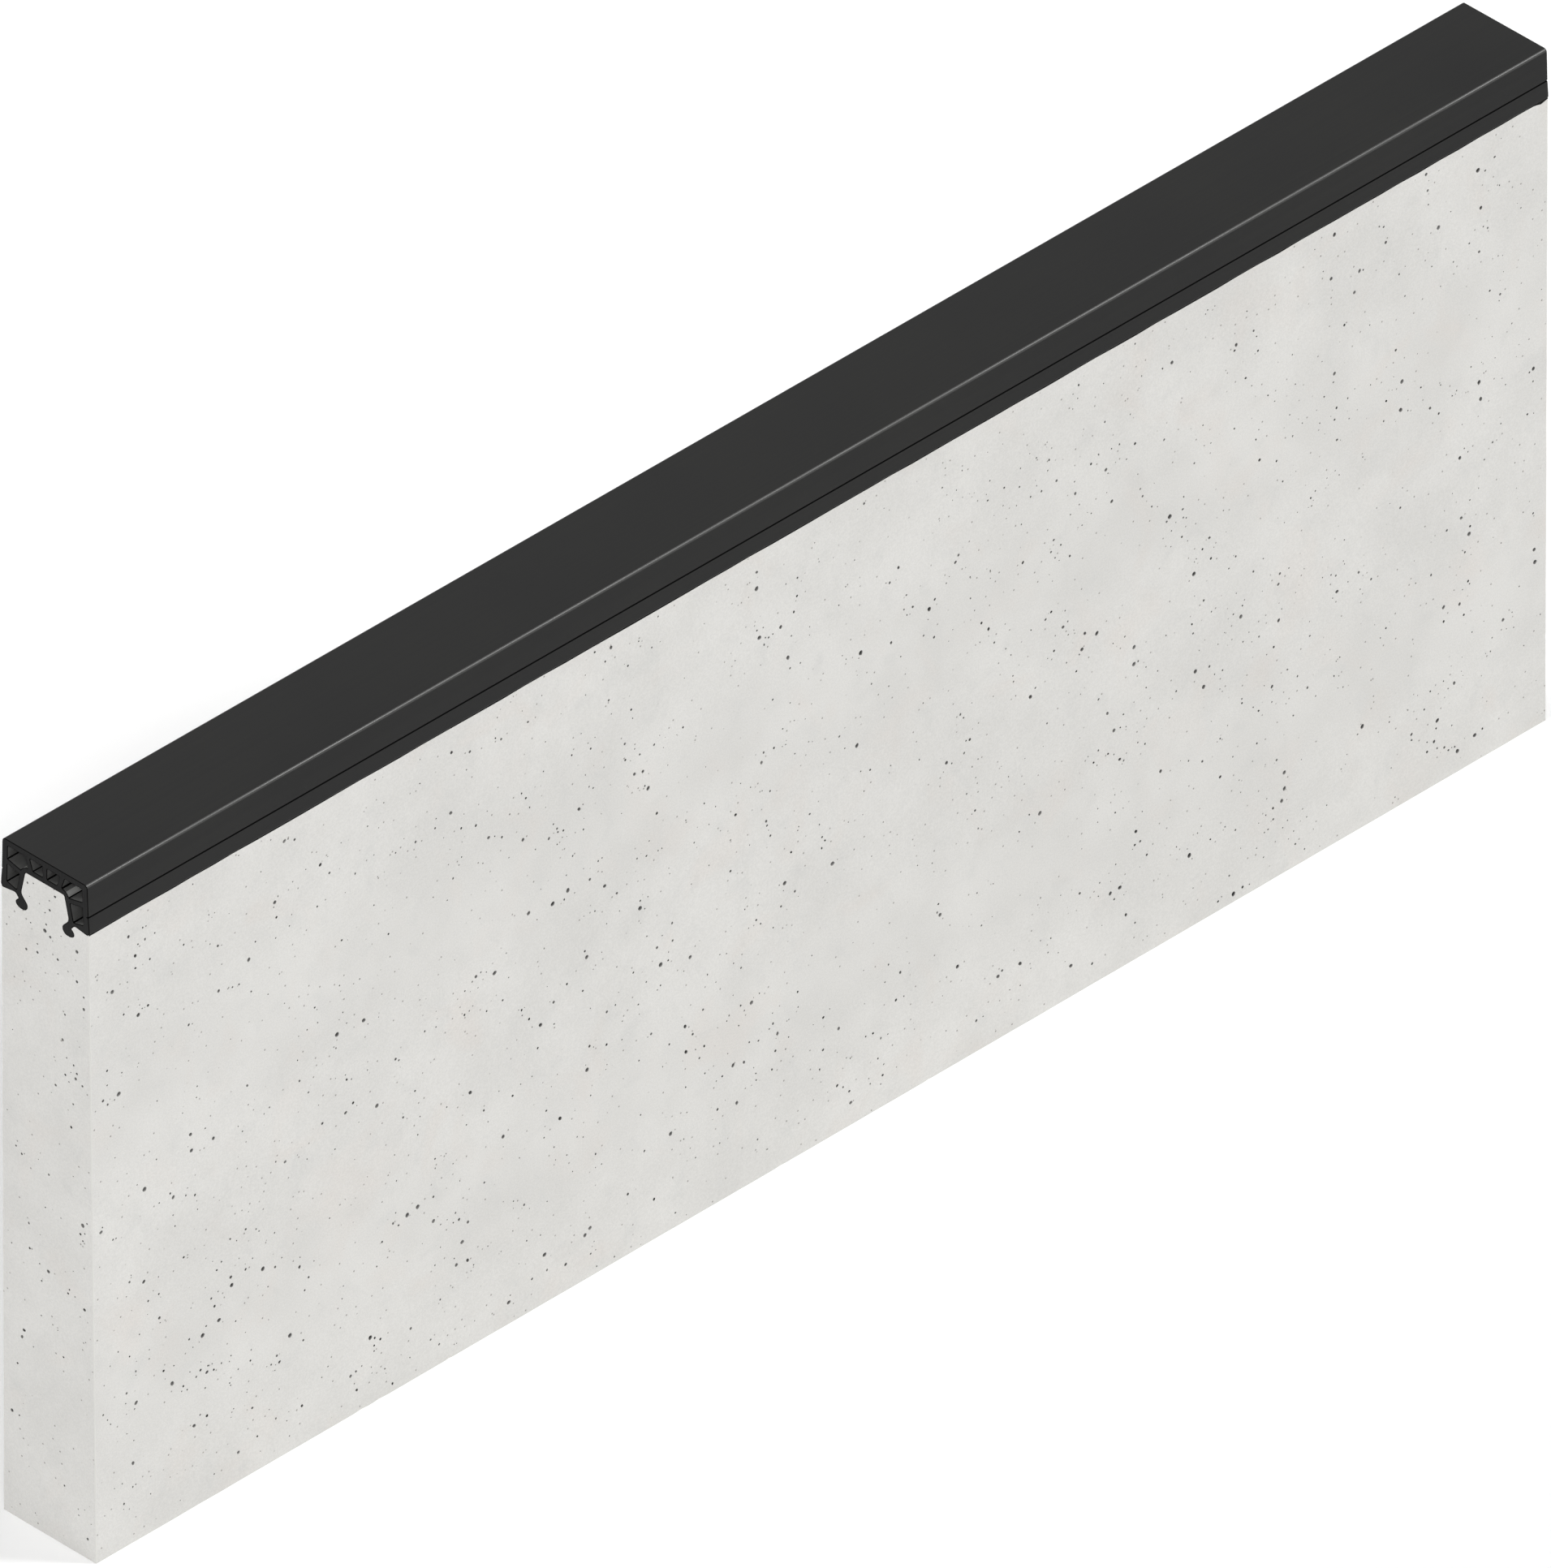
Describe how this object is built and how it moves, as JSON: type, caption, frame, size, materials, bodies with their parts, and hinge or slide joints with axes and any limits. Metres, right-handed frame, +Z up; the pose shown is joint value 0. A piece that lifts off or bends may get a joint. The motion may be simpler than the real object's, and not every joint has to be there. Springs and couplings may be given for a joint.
{
  "type": "precast kerb with cushioned edge",
  "caption": "Straight precast concrete kerb set on edge, with a chambered rubber cap keyed into its top, as around a long-jump pit or a sports ground.",
  "frame": {"origin": "middle of the concrete's bedding face, where the kerb stands", "axes": "+X along the kerb, +Y across it, +Z up from the bedding face to the top of the rubber cap"},
  "size_m": [1, 0.064, 0.4],
  "materials": {
    "concrete": "matte",
    "rubber": "matte"
  },
  "bodies": {
    "root": {"concrete_body": "concrete", "rubber_cap": "rubber"}
  },
  "joints": []
}
